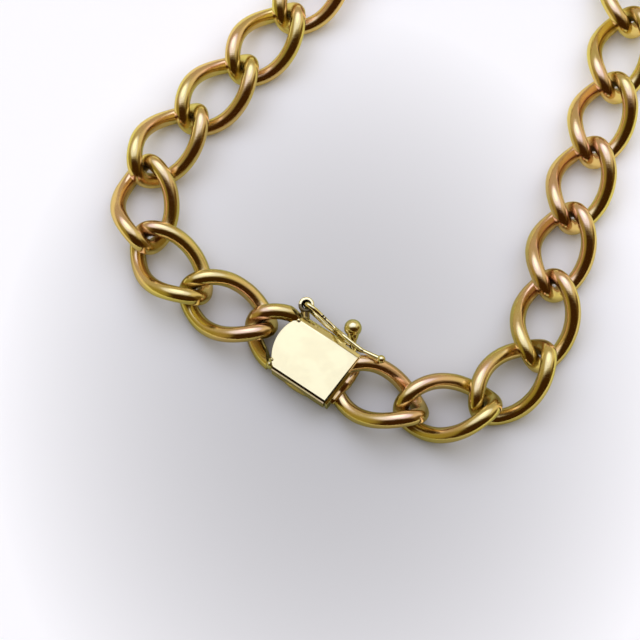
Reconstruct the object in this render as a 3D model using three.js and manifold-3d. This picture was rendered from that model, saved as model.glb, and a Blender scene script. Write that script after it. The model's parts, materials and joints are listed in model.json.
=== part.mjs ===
// A curb chain bracelet with a box clasp and a figure-eight safety latch, closed in a loop.
// Millimetres, +Z up, lying flat on z = 0. Every link is one twisted oval of round wire. The two
// end links are soldered to the clasp, so each of them is one solid with its half of the clasp.
import * as THREE from "three";
import Module from "manifold-3d";
import { mergeVertices } from "three/addons/utils/BufferGeometryUtils.js";

const wasm = await Module();
wasm.setup();

// The chain.
const WIRE = 1.8;
const LINK_LENGTH = 12.1;
const LINK_WIDTH = 7.85;
const LINK_TWIST = THREE.MathUtils.degToRad(53);
const OVAL_POWER = 2.2;
const FREE_LINKS = 20;
const ROUTE_STEPS = 20000;
const STEP_ACCURACY = 0.0005;
const LINK_SLACK = 0.12;
const LIFT_PER_TURN = 0.15;
const HALF_LENGTH = (LINK_LENGTH - WIRE) / 2;
const HALF_WIDTH = (LINK_WIDTH - WIRE) / 2;
const LINK_PITCH = LINK_LENGTH - 2 * WIRE - LINK_SLACK;
const FIRST_HOOK = 3.85;

// The clasp, in its own frame: x along the chain, y to the inside of the loop.
const CLASP_TURN = THREE.MathUtils.degToRad(-34);
const SHEET = 0.4;
const PLAY = 0.3;
const PLATE_PLAY = 0.2;
const CLOSED_END = -3.75;
const MOUTH = 3.55;
const MOUTH_SKEW = THREE.MathUtils.degToRad(3);
const BOX_BOTTOM = 1.0;
const BOX_TOP = 3.6;
const BOX_END_BULGE = 1.35;
const FACE_HALF = 3.3;
const FACE_EDGE = 2.85;
const ROLL_FALL = 0.24;
const ROLL_RADIUS = 0.3;
const ROLL_STANDS_OUT = 0.5;
const INNER_SIDE = FACE_HALF + ROLL_STANDS_OUT;
const BOX_LINK = { x: CLOSED_END + 0.45, y: 0.3, cut: CLOSED_END - 0.55 };
const TONGUE_LINK = {
  x: 7.75,
  y: 0.85,
  turn: THREE.MathUtils.degToRad(9),
  roll: THREE.MathUtils.degToRad(-6),
};
const PLATE_BACK = MOUTH + PLATE_PLAY;
const PLATE_FACE = PLATE_BACK + SHEET;
const PLATE_INSET = 0.1;
const SOLDER_BITE = 0.1;
const BEAD_RADIUS = 0.6;
const BEAD_HALF_LENGTH = 2.3;
const BEAD_HEIGHT = { outer: 1.9, inner: 2.1 };
const SPRING_FOLD = CLOSED_END + 1.2;

// Drops of solder on the box: their middles and their three half sizes.
const SOLDER_DROPS = [
  { place: "inner arm", x: -4.05, y: 3.05, z: 2.7, halfX: 0.85, halfY: 0.7, halfZ: 0.8 },
  { place: "outer arm", x: -4.0, y: -2.95, z: 1.9, halfX: 0.85, halfY: 0.7, halfZ: 0.8 },
  { place: "outer seam", x: -0.4, y: -3.1, z: 1.6, halfX: 1.8, halfY: 0.6, halfZ: 0.75 },
];

// The latch: a wire figure of eight that swings on an upright tube and loops over a knob.
const LATCH_WIRE = 0.42;
const TUBE_RADIUS = 0.88;
const BORE_RADIUS = 0.55;
const TUBE_HALF_HEIGHT = 0.4;
const TUBE_STEM = 0.7;
const TUBE = new THREE.Vector3(-4.5, 4.86, 2.85);
const LATCH_HEADING = THREE.MathUtils.degToRad(-3.9);
const LATCH_BALL = 0.8;
const KNOB = 1.93;
const KNOB_NECK = 0.7;
const KNOB_CENTRE = new THREE.Vector3(1.25, 5.46, 2.8);
const KNOB_ROOT = new THREE.Vector3(3.0, 3.0, 2.2);
const SLOT = { start: 1.7, low: 1.6, high: 3.0 };

// The loop of the latch: the heights of its upper and lower runs, and how far each bows inwards.
const LATCH_LOOP = [
  { along: 0, high: 3.15, highBow: 0, low: 2.55, lowBow: 0 },
  { along: 0.2, high: 3.57, highBow: 0, low: 2.13, lowBow: 0 },
  { along: 0.9, high: 3.61, highBow: -0.08, low: 2.09, lowBow: -0.08 },
  { along: 1.8, high: 3.3, highBow: -0.1, low: 2.2, lowBow: -0.05 },
  { along: 3.0, high: 3.13, highBow: 0.04, low: 2.17, lowBow: 0.1 },
  { along: 4.2, high: 2.99, highBow: 0.18, low: 2.31, lowBow: 0.25 },
  { along: 4.9, high: 3.7, highBow: 0.34, low: 1.8, lowBow: 0.32 },
  { along: 5.6, high: 4.11, highBow: 0.49, low: 1.39, lowBow: 0.34 },
  { along: 6.4, high: 4.17, highBow: 0.54, low: 1.33, lowBow: 0.33 },
  { along: 7.2, high: 4.18, highBow: 0.56, low: 1.45, lowBow: 0.3 },
  { along: 7.8, high: 4.21, highBow: 0.57, low: 1.9, lowBow: 0.25 },
  { along: 8.3, high: 4.2, highBow: 0.56, low: 2.75, lowBow: 0.2 },
];
const LOOP_END = { along: 8.7, height: 3.7, bow: 0.36 };
const SHANK_START = { along: 8.35, height: 4.18, bow: 0.56 };
const LATCH_TIP = { along: 10.54, height: 4.4, bow: 0.13 };

const GOLD = { color: 0xb8913f, roughness: 0.2, metalness: 1 };
const PALE_GOLD = { color: 0xe6d59a, roughness: 0.3, metalness: 1 };

// The way that the chain takes: points of its centre line, measured from the middle of the clasp.
const ROUTE = [
  { x: 18.5, y: -5.0 }, { x: 24.6, y: 0.6 }, { x: 26.4, y: 9.2 }, { x: 28.8, y: 17.4 },
  { x: 31.6, y: 25.6 }, { x: 34.3, y: 33.4 }, { x: 36.4, y: 41.2 }, { x: 37.2, y: 48.8 },
  { x: 32.0, y: 55.8 }, { x: 22.6, y: 58.4 }, { x: 11.6, y: 55.4 }, { x: 2.8, y: 48.3 },
  { x: -2.7, y: 42.0 }, { x: -8.0, y: 35.6 }, { x: -13.6, y: 29.7 }, { x: -19.0, y: 23.7 },
  { x: -19.7, y: 15.6 }, { x: -13.6, y: 8.2 },
];

// ---- helpers -----------------------------------------------------------------------------------

function toSolid(geometry) {
  geometry.deleteAttribute("normal");
  geometry.deleteAttribute("uv");
  const merged = mergeVertices(geometry, 1e-4);
  return new wasm.Manifold(new wasm.Mesh({
    numProp: 3,
    vertProperties: new Float32Array(merged.attributes.position.array),
    triVerts: new Uint32Array(merged.index.array),
  }));
}

function toGeometry(solid) {
  const mesh = solid.getMesh();
  const geometry = new THREE.BufferGeometry();
  geometry.setAttribute("position", new THREE.BufferAttribute(mesh.vertProperties, 3));
  geometry.setIndex(new THREE.BufferAttribute(mesh.triVerts, 1));
  return geometry;
}

function joined(...solids) {
  return solids.reduce((whole, solid) => whole.add(solid));
}

function extruded(outline, depth, curveSegments) {
  return new THREE.ExtrudeGeometry(outline, { depth, bevelEnabled: false, curveSegments });
}

function block(x0, x1, y0, y1, z0, z1) {
  const geometry = new THREE.BoxGeometry(x1 - x0, y1 - y0, z1 - z0);
  geometry.translate((x0 + x1) / 2, (y0 + y1) / 2, (z0 + z1) / 2);
  return toSolid(geometry);
}

// A drop of solder: a sphere stretched to its three half sizes.
function drop({ x, y, z, halfX, halfY, halfZ }) {
  const geometry = new THREE.SphereGeometry(1, 14, 9);
  geometry.scale(halfX, halfY, halfZ);
  geometry.translate(x, y, z);
  return toSolid(geometry);
}

// A round bar with round ends between two points.
function bar(start, end, radius) {
  const along = new THREE.Vector3().subVectors(end, start);
  const geometry = new THREE.CapsuleGeometry(radius, along.length(), 3, 12);
  const yAxis = new THREE.Vector3(0, 1, 0);
  geometry.applyQuaternion(new THREE.Quaternion().setFromUnitVectors(yAxis, along.clone().normalize()));
  geometry.translate(...new THREE.Vector3().addVectors(start, end).multiplyScalar(0.5));
  return toSolid(geometry);
}

// ---- one link ----------------------------------------------------------------------------------

// The centre line of a link: a full oval, twisted evenly from one end to the other.
class LinkCurve extends THREE.Curve {
  getPoint(t, target = new THREE.Vector3()) {
    const angle = 2 * Math.PI * t;
    const full = (value) => Math.sign(value) * Math.abs(value) ** (2 / OVAL_POWER);
    const x = HALF_LENGTH * full(Math.cos(angle));
    const y = HALF_WIDTH * full(Math.sin(angle));
    const twist = -LINK_TWIST * (x / HALF_LENGTH);
    return target.set(x, y * Math.cos(twist), y * Math.sin(twist));
  }
}

const linkCurve = new LinkCurve();

function linkGeometry() {
  return new THREE.TubeGeometry(linkCurve, 30, WIRE / 2, 9, true);
}

// The height at which a turned link just touches the ground.
function restingHeight(rotation) {
  const lowest = linkCurve.getPoints(120).map((point) => point.applyEuler(rotation).z);
  return WIRE / 2 - Math.min(...lowest);
}

// ---- the clasp ---------------------------------------------------------------------------------

// The plan of the box and of its hollow: a skew mouth, a strip for the rolled edge, an arc.
function boxPlan(inset, mouth) {
  const half = FACE_HALF - inset;
  const side = INNER_SIDE - inset;
  const bulge = BOX_END_BULGE - inset;
  const radius = (half * half + bulge * bulge) / (2 * bulge);
  const centre = CLOSED_END - bulge + radius;
  const spread = Math.asin(half / radius);
  const skew = Math.tan(MOUTH_SKEW);
  const plan = new THREE.Shape();
  plan.moveTo(mouth - half * skew, -half);
  plan.lineTo(mouth + side * skew, side);
  plan.lineTo(CLOSED_END + inset, side);
  plan.lineTo(CLOSED_END + inset, half);
  plan.absarc(centre, 0, radius, Math.PI - spread, Math.PI + spread, false);
  plan.closePath();
  return plan;
}

// The section across the box: towards the inner side the top slopes down and then rolls over.
function boxSection(inset) {
  const half = FACE_HALF - inset;
  const side = INNER_SIDE - inset;
  const low = BOX_BOTTOM + inset;
  const high = BOX_TOP - inset;
  const roll = ROLL_RADIUS - inset / 2;
  const shoulder = high - ROLL_FALL;
  const section = new THREE.Shape();
  section.moveTo(-half, low);
  section.lineTo(side, low);
  section.lineTo(side, shoulder - roll);
  section.absarc(side - roll, shoulder - roll, roll, 0, Math.PI / 2, false);
  section.lineTo(FACE_EDGE, high);
  section.lineTo(-half, high);
  section.closePath();
  return section;
}

function boxForm(inset, mouth) {
  const plan = extruded(boxPlan(inset, mouth), BOX_TOP, 12);
  const across = extruded(boxSection(inset), 4 * LINK_LENGTH, 5);
  across.rotateX(Math.PI / 2);
  across.rotateZ(Math.PI / 2);
  across.translate(-2 * LINK_LENGTH, 0, 0);
  return toSolid(plan).intersect(toSolid(across));
}

// The part of a placed link that lies between two planes across the clasp.
function linkBetween(geometry, low, high) {
  const slice = block(low, high, -LINK_WIDTH, LINK_WIDTH, -LINK_WIDTH, LINK_WIDTH);
  return toSolid(geometry).intersect(slice);
}

// Half a link, whose two cut arms are soldered to the closed end of the box.
function linkOfBox() {
  const geometry = linkGeometry();
  geometry.translate(BOX_LINK.x, BOX_LINK.y, restingHeight(new THREE.Euler()));
  return linkBetween(geometry, -2 * LINK_LENGTH, BOX_LINK.cut);
}

// The upright tube that the latch swings on, held by a stem at the corner of the box.
function latchTube() {
  const wall = new THREE.Shape();
  wall.absarc(0, 0, TUBE_RADIUS, 0, 2 * Math.PI, false);
  const bore = new THREE.Path();
  bore.absarc(0, 0, BORE_RADIUS, 0, 2 * Math.PI, true);
  wall.holes.push(bore);
  const tube = extruded(wall, 2 * TUBE_HALF_HEIGHT, 12);
  tube.translate(TUBE.x, TUBE.y, TUBE.z - TUBE_HALF_HEIGHT);
  const corner = new THREE.Vector3(CLOSED_END + SHEET / 2, INNER_SIDE - SHEET, TUBE.z - SHEET);
  const inward = new THREE.Vector3(corner.x - TUBE.x, corner.y - TUBE.y, 0).normalize();
  const stemEnd = TUBE.clone().addScaledVector(inward, TUBE_RADIUS + SHEET / 2);
  return toSolid(tube).add(bar(corner, stemEnd, TUBE_STEM / 2));
}

// The shell of the box, open at the mouth, with all that is soldered to it.
function claspBox() {
  const outside = joined(boxForm(0, MOUTH), linkOfBox(), latchTube(), ...SOLDER_DROPS.map(drop));
  const pastMouth = MOUTH + SHEET;
  const sideWall = INNER_SIDE - 2 * SHEET;
  const slot = block(SLOT.start, pastMouth + SHEET, sideWall, 2 * INNER_SIDE, SLOT.low, SLOT.high);
  return outside.subtract(boxForm(SHEET, pastMouth)).subtract(slot);
}

// The link on the tongue, cut off and soldered to the plate that closes the mouth.
function linkOfTongue() {
  const turned = new THREE.Euler(TONGUE_LINK.roll, 0, TONGUE_LINK.turn, "ZYX");
  const geometry = linkGeometry();
  geometry.applyQuaternion(new THREE.Quaternion().setFromEuler(turned));
  geometry.translate(TONGUE_LINK.x, TONGUE_LINK.y, restingHeight(turned));
  geometry.rotateZ(MOUTH_SKEW);
  const ahead = linkBetween(geometry, PLATE_FACE - SOLDER_BITE, 2 * LINK_LENGTH);
  return ahead.rotate([0, 0, -THREE.MathUtils.radToDeg(MOUTH_SKEW)]);
}

// The plate that closes the mouth, and the bead of solder across it.
function closingPlate() {
  const low = BOX_BOTTOM + PLATE_INSET;
  const high = BOX_TOP - PLATE_INSET;
  const outer = -FACE_HALF + PLATE_INSET;
  const plate = block(PLATE_BACK, PLATE_FACE, outer, INNER_SIDE - PLATE_INSET, low, high);
  const start = new THREE.Vector3(PLATE_FACE, -BEAD_HALF_LENGTH, BEAD_HEIGHT.outer);
  const end = new THREE.Vector3(PLATE_FACE, BEAD_HALF_LENGTH, BEAD_HEIGHT.inner);
  const ahead = block(PLATE_FACE - SOLDER_BITE, LINK_LENGTH, -LINK_WIDTH, LINK_WIDTH, 0, BOX_TOP);
  const bead = bar(start, end, BEAD_RADIUS).intersect(ahead);
  return joined(plate, bead).rotate([0, 0, -THREE.MathUtils.radToDeg(MOUTH_SKEW)]);
}

// The spring: one sheet folded back over itself at the closed end of the box.
function springLeaf() {
  const low = BOX_BOTTOM + SHEET + PLAY;
  const high = BOX_TOP - SHEET - PLAY;
  const fold = { z: (low + high) / 2, radius: (high - low) / 2 };
  const halfWidth = FACE_HALF - SHEET - PLAY;
  const section = new THREE.Shape();
  const plate = PLATE_BACK + SHEET / 2;
  section.moveTo(plate, low);
  section.lineTo(SPRING_FOLD, low);
  section.absarc(SPRING_FOLD, fold.z, fold.radius, -Math.PI / 2, Math.PI / 2, true);
  section.lineTo(SLOT.start, high);
  section.lineTo(SLOT.start, high - SHEET);
  section.lineTo(SPRING_FOLD, high - SHEET);
  section.absarc(SPRING_FOLD, fold.z, fold.radius - SHEET, Math.PI / 2, -Math.PI / 2, false);
  section.lineTo(plate, low + SHEET);
  section.closePath();
  const geometry = extruded(section, 2 * halfWidth, 8);
  geometry.rotateX(Math.PI / 2);
  geometry.translate(0, halfWidth, 0);
  return toSolid(geometry);
}

// The knob: a ball on a neck that leans out of the slot from a lug on the spring.
function knob() {
  const ball = new THREE.SphereGeometry(KNOB / 2, 16, 12);
  ball.translate(KNOB_CENTRE.x, KNOB_CENTRE.y, KNOB_CENTRE.z);
  const side = INNER_SIDE - SHEET - PLAY;
  const low = BOX_BOTTOM + SHEET + PLAY;
  const high = KNOB_ROOT.z + KNOB_NECK / 2;
  const ahead = KNOB_ROOT.x + KNOB_NECK / 2;
  const lug = block(KNOB_ROOT.x - KNOB_NECK, ahead, side - 3 * SHEET, side, low, high);
  return joined(lug, bar(KNOB_ROOT, KNOB_CENTRE, KNOB_NECK / 2), toSolid(ball));
}

function claspTongue() {
  return joined(closingPlate(), springLeaf(), linkOfTongue(), knob());
}

// ---- the latch ---------------------------------------------------------------------------------

// A point of the latch, in the frame of its tube.
function latchPoint(along, height, bow) {
  return new THREE.Vector3(along, -bow, height - TUBE.z);
}

// One wire through the tube, bent into a long loop with a waist, and a shank with a ball.
function safetyLatch() {
  const upper = LATCH_LOOP.map((row) => latchPoint(row.along, row.high, row.highBow));
  const lower = LATCH_LOOP.map((row) => latchPoint(row.along, row.low, row.lowBow)).reverse();
  const end = latchPoint(LOOP_END.along, LOOP_END.height, LOOP_END.bow);
  const loop = new THREE.CatmullRomCurve3([...upper, end, ...lower], true, "centripetal");
  const start = latchPoint(SHANK_START.along, SHANK_START.height, SHANK_START.bow);
  const tip = latchPoint(LATCH_TIP.along, LATCH_TIP.height, LATCH_TIP.bow);
  const ball = new THREE.SphereGeometry(LATCH_BALL / 2, 12, 9);
  ball.translate(tip.x, tip.y, tip.z);
  const wire = toSolid(new THREE.TubeGeometry(loop, 96, LATCH_WIRE / 2, 7, true));
  return joined(wire, bar(start, tip, LATCH_WIRE / 2), toSolid(ball));
}

// ---- assembly ----------------------------------------------------------------------------------

function pieceMesh(name, geometry, finish) {
  const mesh = new THREE.Mesh(geometry, new THREE.MeshStandardMaterial(finish));
  mesh.name = name;
  return mesh;
}

const bracelet = new THREE.Group();
const clasp = new THREE.Group();
clasp.rotation.z = CLASP_TURN;
bracelet.add(clasp);

const latch = pieceMesh("safety_latch", toGeometry(safetyLatch()), PALE_GOLD);
latch.position.copy(TUBE);
latch.rotation.z = LATCH_HEADING;
clasp.add(pieceMesh("clasp_box", toGeometry(claspBox()), PALE_GOLD));
clasp.add(pieceMesh("clasp_tongue", toGeometry(claspTongue()), PALE_GOLD));
clasp.add(latch);

// Where two links hook into each other, from the link on the tongue round to the link on the box.
const claspAxis = new THREE.Vector3(0, 0, 1);
const firstHook = new THREE.Vector3(TONGUE_LINK.x, TONGUE_LINK.y, 0)
  .add(new THREE.Vector3(FIRST_HOOK, 0, 0).applyAxisAngle(claspAxis, TONGUE_LINK.turn))
  .applyAxisAngle(claspAxis, CLASP_TURN);
const lastHook = new THREE.Vector3(BOX_LINK.x - LINK_PITCH / 2, BOX_LINK.y, 0)
  .applyAxisAngle(claspAxis, CLASP_TURN);
const waypoints = ROUTE.map(({ x, y }) => new THREE.Vector3(x, y, 0));
const route = new THREE.CatmullRomCurve3([firstHook, ...waypoints, lastHook]);
const routePoints = route.getPoints(ROUTE_STEPS);

// Straight steps of one length along the route, as taut links lie.
function stepsAlongRoute(step) {
  const hooks = [routePoints[0]];
  for (const point of routePoints) {
    if (point.distanceTo(hooks[hooks.length - 1]) >= step) {
      hooks.push(point);
    }
  }
  return hooks;
}

// The longest step that still leaves room for every link.
let shortStep = LINK_PITCH / 2;
let longStep = LINK_PITCH * 2;
while (longStep - shortStep > STEP_ACCURACY) {
  const step = (shortStep + longStep) / 2;
  if (stepsAlongRoute(step).length > FREE_LINKS) {
    shortStep = step;
  } else {
    longStep = step;
  }
}
const hooks = stepsAlongRoute(shortStep);

const headings = [TONGUE_LINK.turn + CLASP_TURN];
for (let i = 0; i < FREE_LINKS; i += 1) {
  headings.push(Math.atan2(hooks[i + 1].y - hooks[i].y, hooks[i + 1].x - hooks[i].x));
}
headings.push(CLASP_TURN);

function turnBetween(first, second) {
  return Math.atan2(Math.sin(second - first), Math.cos(second - first));
}

for (let i = 1; i <= FREE_LINKS; i += 1) {
  const turns = turnBetween(headings[i - 1], headings[i]) + turnBetween(headings[i], headings[i + 1]);
  const link = pieceMesh(`link_${String(i).padStart(2, "0")}`, linkGeometry(), GOLD);
  link.rotation.set(0, -LIFT_PER_TURN * turns / 2, headings[i], "ZYX");
  link.position.addVectors(hooks[i - 1], hooks[i]).multiplyScalar(0.5);
  link.position.z = restingHeight(link.rotation);
  bracelet.add(link);
}

// The loop is centred over the origin, with its lowest wire on z = 0.
bracelet.updateMatrixWorld(true);
const extent = new THREE.Box3().setFromObject(bracelet, true);
const middle = extent.getCenter(new THREE.Vector3());
bracelet.position.set(-middle.x, -middle.y, -extent.min.z);

export default bracelet;
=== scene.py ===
# %% [markdown]
# # A curb chain bracelet
#
# The bracelet is a closed chain of twisted oval links in polished gold. A flat box clasp
# closes it, and a thin wire latch hooks over a knob so that the clasp can't open by itself.
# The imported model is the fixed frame: it says where each link and the clasp lie. The cells
# below build the fine metal around it, in metres, and give each metal its finish.

# %% Load the frame
import json
import math

import bmesh
import bpy
import numpy as np
from mathutils import Matrix, Vector, noise


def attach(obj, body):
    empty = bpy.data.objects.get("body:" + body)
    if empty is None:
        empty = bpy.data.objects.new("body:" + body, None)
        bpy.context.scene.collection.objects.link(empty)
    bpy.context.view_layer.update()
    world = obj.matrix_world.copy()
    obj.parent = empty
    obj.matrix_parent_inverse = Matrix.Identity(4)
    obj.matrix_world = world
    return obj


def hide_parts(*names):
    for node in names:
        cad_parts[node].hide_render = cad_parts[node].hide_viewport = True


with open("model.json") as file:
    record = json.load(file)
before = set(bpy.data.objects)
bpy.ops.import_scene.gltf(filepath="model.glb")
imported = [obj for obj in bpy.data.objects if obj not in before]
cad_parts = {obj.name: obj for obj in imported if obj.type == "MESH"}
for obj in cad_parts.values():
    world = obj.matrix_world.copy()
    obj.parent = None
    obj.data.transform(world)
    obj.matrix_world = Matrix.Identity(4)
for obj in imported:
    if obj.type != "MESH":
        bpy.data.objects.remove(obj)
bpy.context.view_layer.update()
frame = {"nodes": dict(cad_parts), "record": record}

MM = 0.001

# %% [markdown]
# ## The camera
#
# The bracelet lies on a table and is looked at from almost straight above, past the clasp.
# A long lens at 23 cm keeps the links nearly free of perspective. The view is aimed at a
# point of the table close to the clasp's inner side, so the far end of the loop runs out of it.

# %% The clasp's own frame, and the camera that looks at it
CLASP_TURN = math.radians(-34)
BOX_TOP = 3.6 * MM
plate_mount = Vector(frame["record"]["mounts"][0]["pos_m"])
clasp_ground = Vector((plate_mount.x, plate_mount.y, plate_mount.z - BOX_TOP))
CLASP = Matrix.Translation(clasp_ground) @ Matrix.Rotation(CLASP_TURN, 4, "Z")

VIEW_ELEVATION = math.radians(75)
VIEW_DISTANCE = 230 * MM
LENS = 114.9
AIM_FROM_CLASP = Vector((0.5 * MM, 5.6 * MM))


def aimed_camera(name, target, elevation, distance, lens):
    camera = bpy.data.objects.new(name, bpy.data.cameras.new(name))
    camera.data.lens = lens
    camera.data.clip_start = distance / 20
    camera.data.clip_end = distance * 40
    away = Vector((0, -math.cos(elevation), math.sin(elevation)))
    camera.location = target + away * distance
    camera.rotation_euler = (-away).to_track_quat("-Z", "Y").to_euler()
    bpy.context.scene.collection.objects.link(camera)
    return camera


aim = Vector((clasp_ground.x + AIM_FROM_CLASP.x, clasp_ground.y + AIM_FROM_CLASP.y, 0))
camera = aimed_camera("Camera", aim, VIEW_ELEVATION, VIEW_DISTANCE, LENS)
bpy.context.scene.camera = camera
print("camera is", round(camera.location.z / MM), "mm above the table")

# %% [markdown]
# ## Helpers for every piece
#
# A piece is modelled in a bmesh, put in its place with a matrix, and stored as an object that
# sits at the origin. Its place is then in its mesh, as a CAD node's is. A piece says which CAD
# node it stands for, which body it rides on and which metal it is made of.

# %% Store a finished piece
made = {}


def smooth_all(bm):
    for face in bm.faces:
        face.smooth = True


def piece(name, bm, place, material, node, body):
    """Stores a bmesh as an object in its place, riding on a body and standing for a node."""
    bmesh.ops.transform(bm, matrix=place, verts=bm.verts)
    mesh = bpy.data.meshes.new(name)
    bm.to_mesh(mesh)
    bm.free()
    mesh.materials.append(material)
    thing = bpy.data.objects.new(name, mesh)
    bpy.context.scene.collection.objects.link(thing)
    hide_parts(node)
    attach(thing, body)
    made[name] = thing
    print(f"{name}: {len(mesh.polygons)} faces, stands for {node}")


NOISE_STEP = (17.3, 5.1, 11.7)


def roughen(bm, amount, grain, seed):
    """Moves each vertex along its normal by smooth noise, as handwork leaves a surface."""
    bm.normal_update()
    offset = Vector([seed * step for step in NOISE_STEP])
    moves = [vert.normal * amount * noise.noise(vert.co / grain + offset) for vert in bm.verts]
    for vert, move in zip(bm.verts, moves):
        vert.co += move


# %% [markdown]
# ## Shared effects as node groups
#
# Polished gold is never a perfect mirror. Wear leaves hair lines and soft dents, and old gold
# has rosier and greener patches. Both effects are used by more than one metal, so each is a
# shader node group with named inputs. The groups put out masks, colours and heights only.

# %% Two node groups: polishing wear, and colour drift
def new_group(name, inputs, outputs):
    group = bpy.data.node_groups.new(name, "ShaderNodeTree")
    for title, kind, value in inputs:
        socket = group.interface.new_socket(title, in_out="INPUT", socket_type=kind)
        socket.default_value = value
    for title, kind in outputs:
        group.interface.new_socket(title, in_out="OUTPUT", socket_type=kind)
    return group


def add(tree, kind, **settings):
    node = tree.nodes.new(kind)
    for title, value in settings.items():
        setattr(node, title, value)
    return node


def polishing_wear():
    """Hair lines and soft dents: a roughness mask and a height."""
    group = new_group(
        "polishing_wear",
        [
            ("Hair Line Scale", "NodeSocketFloat", 900.0),
            ("Dent Scale", "NodeSocketFloat", 350.0),
            ("Hair Line Share", "NodeSocketFloat", 0.3),
        ],
        [("Mask", "NodeSocketFloat"), ("Height", "NodeSocketFloat")],
    )
    link = group.links.new
    source = add(group, "NodeGroupInput")
    target = add(group, "NodeGroupOutput")
    coordinates = add(group, "ShaderNodeTexCoord")
    stretch = add(group, "ShaderNodeMapping")
    stretch.inputs["Rotation"].default_value = (0.2, 0.3, 0.9)
    stretch.inputs["Scale"].default_value = (1.0, 14.0, 9.0)
    link(coordinates.outputs["Object"], stretch.inputs["Vector"])
    hair = add(group, "ShaderNodeTexNoise")
    hair.inputs["Detail"].default_value = 3.0
    hair.inputs["Roughness"].default_value = 0.6
    link(stretch.outputs["Vector"], hair.inputs["Vector"])
    link(source.outputs["Hair Line Scale"], hair.inputs["Scale"])
    dents = add(group, "ShaderNodeTexNoise")
    dents.inputs["Detail"].default_value = 1.5
    link(coordinates.outputs["Object"], dents.inputs["Vector"])
    link(source.outputs["Dent Scale"], dents.inputs["Scale"])
    lines = add(group, "ShaderNodeMapRange")
    lines.inputs["From Min"].default_value = 0.45
    lines.inputs["From Max"].default_value = 0.75
    link(hair.outputs["Fac"], lines.inputs["Value"])
    share = add(group, "ShaderNodeMath", operation="MULTIPLY")
    link(lines.outputs["Result"], share.inputs[0])
    link(source.outputs["Hair Line Share"], share.inputs[1])
    height = add(group, "ShaderNodeMath", operation="SUBTRACT")
    link(dents.outputs["Fac"], height.inputs[0])
    link(share.outputs["Value"], height.inputs[1])
    link(lines.outputs["Result"], target.inputs["Mask"])
    link(height.outputs["Value"], target.inputs["Height"])
    return group


def colour_drift():
    """One metal that drifts between two tints in soft patches."""
    group = new_group(
        "colour_drift",
        [
            ("Main Tint", "NodeSocketColor", (1, 1, 1, 1)),
            ("Other Tint", "NodeSocketColor", (1, 1, 1, 1)),
            ("Patch Scale", "NodeSocketFloat", 140.0),
        ],
        [("Color", "NodeSocketColor")],
    )
    link = group.links.new
    source = add(group, "NodeGroupInput")
    target = add(group, "NodeGroupOutput")
    coordinates = add(group, "ShaderNodeTexCoord")
    patches = add(group, "ShaderNodeTexNoise")
    patches.inputs["Detail"].default_value = 2.0
    link(coordinates.outputs["Object"], patches.inputs["Vector"])
    link(source.outputs["Patch Scale"], patches.inputs["Scale"])
    contrast = add(group, "ShaderNodeMapRange", interpolation_type="SMOOTHSTEP")
    contrast.inputs["From Min"].default_value = 0.4
    contrast.inputs["From Max"].default_value = 0.65
    link(patches.outputs["Fac"], contrast.inputs["Value"])
    mix = add(group, "ShaderNodeMix", data_type="RGBA")
    link(contrast.outputs["Result"], mix.inputs["Factor"])
    link(source.outputs["Main Tint"], mix.inputs["A"])
    link(source.outputs["Other Tint"], mix.inputs["B"])
    link(mix.outputs["Result"], target.inputs["Color"])
    return group


WEAR = polishing_wear()
DRIFT = colour_drift()
print("node groups:", [group.name for group in bpy.data.node_groups])

# %% [markdown]
# ## The metals
#
# The links are a deep gold that leans to olive and to rose, and the clasp's tray, its seam
# and the solder on its plate share that gold. The rest of the clasp is a paler gold, and the
# solder at the corners of the box is duller and pitted. All are full metals: their colour is
# in what they reflect, so only tint, roughness and fine relief set them apart. An image could
# hold painted shade, but a float attribute stored with the mesh needs no image. It paints
# shade into the metal, dark and dull, in hollows, grooves, under the cover and where links meet.

# %% A gold from its tints, its roughness and its relief
# The dark colour below is painted shade. The metal is mixed towards it where the shade painted on
# the mesh is high, and it is made rougher there.
PAINTED_SHADE_COLOUR = (0.05, 0.028, 0.01)
PAINTED_SHADE_ROUGHNESS = 0.35
HAIR_LINE_SHARE = 0.25


def gold(name, main, other, patch_scale, roughness, hair, dent, relief):
    material = bpy.data.materials.new(name)
    material.use_nodes = True
    tree = material.node_tree
    link = tree.links.new
    shader = tree.nodes["Principled BSDF"]
    shader.inputs["Metallic"].default_value = 1.0
    tint = add(tree, "ShaderNodeGroup", node_tree=DRIFT)
    tint.inputs["Main Tint"].default_value = (*main, 1)
    tint.inputs["Other Tint"].default_value = (*other, 1)
    tint.inputs["Patch Scale"].default_value = patch_scale
    # Reads the shade painted on the mesh.
    painted_shade = add(tree, "ShaderNodeAttribute", attribute_name="painted_shade")
    shade_mixed_colour = add(tree, "ShaderNodeMix", data_type="RGBA")
    shade_mixed_colour.inputs["B"].default_value = (*PAINTED_SHADE_COLOUR, 1)
    link(tint.outputs["Color"], shade_mixed_colour.inputs["A"])
    link(painted_shade.outputs["Fac"], shade_mixed_colour.inputs["Factor"])
    link(shade_mixed_colour.outputs["Result"], shader.inputs["Base Color"])
    wear = add(tree, "ShaderNodeGroup", node_tree=WEAR)
    wear.inputs["Hair Line Scale"].default_value = hair
    wear.inputs["Dent Scale"].default_value = dent
    wear.inputs["Hair Line Share"].default_value = HAIR_LINE_SHARE
    rough = add(tree, "ShaderNodeMapRange")
    rough.inputs["To Min"].default_value = roughness[0]
    rough.inputs["To Max"].default_value = roughness[1]
    link(wear.outputs["Mask"], rough.inputs["Value"])
    dullness = add(tree, "ShaderNodeMath", operation="MULTIPLY_ADD")
    dullness.inputs[1].default_value = PAINTED_SHADE_ROUGHNESS
    link(painted_shade.outputs["Fac"], dullness.inputs[0])
    link(rough.outputs["Result"], dullness.inputs[2])
    link(dullness.outputs["Value"], shader.inputs["Roughness"])
    bump = add(tree, "ShaderNodeBump")
    bump.inputs["Strength"].default_value = 1.0
    bump.inputs["Distance"].default_value = relief
    link(wear.outputs["Height"], bump.inputs["Height"])
    link(bump.outputs["Normal"], shader.inputs["Normal"])
    return material


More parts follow.
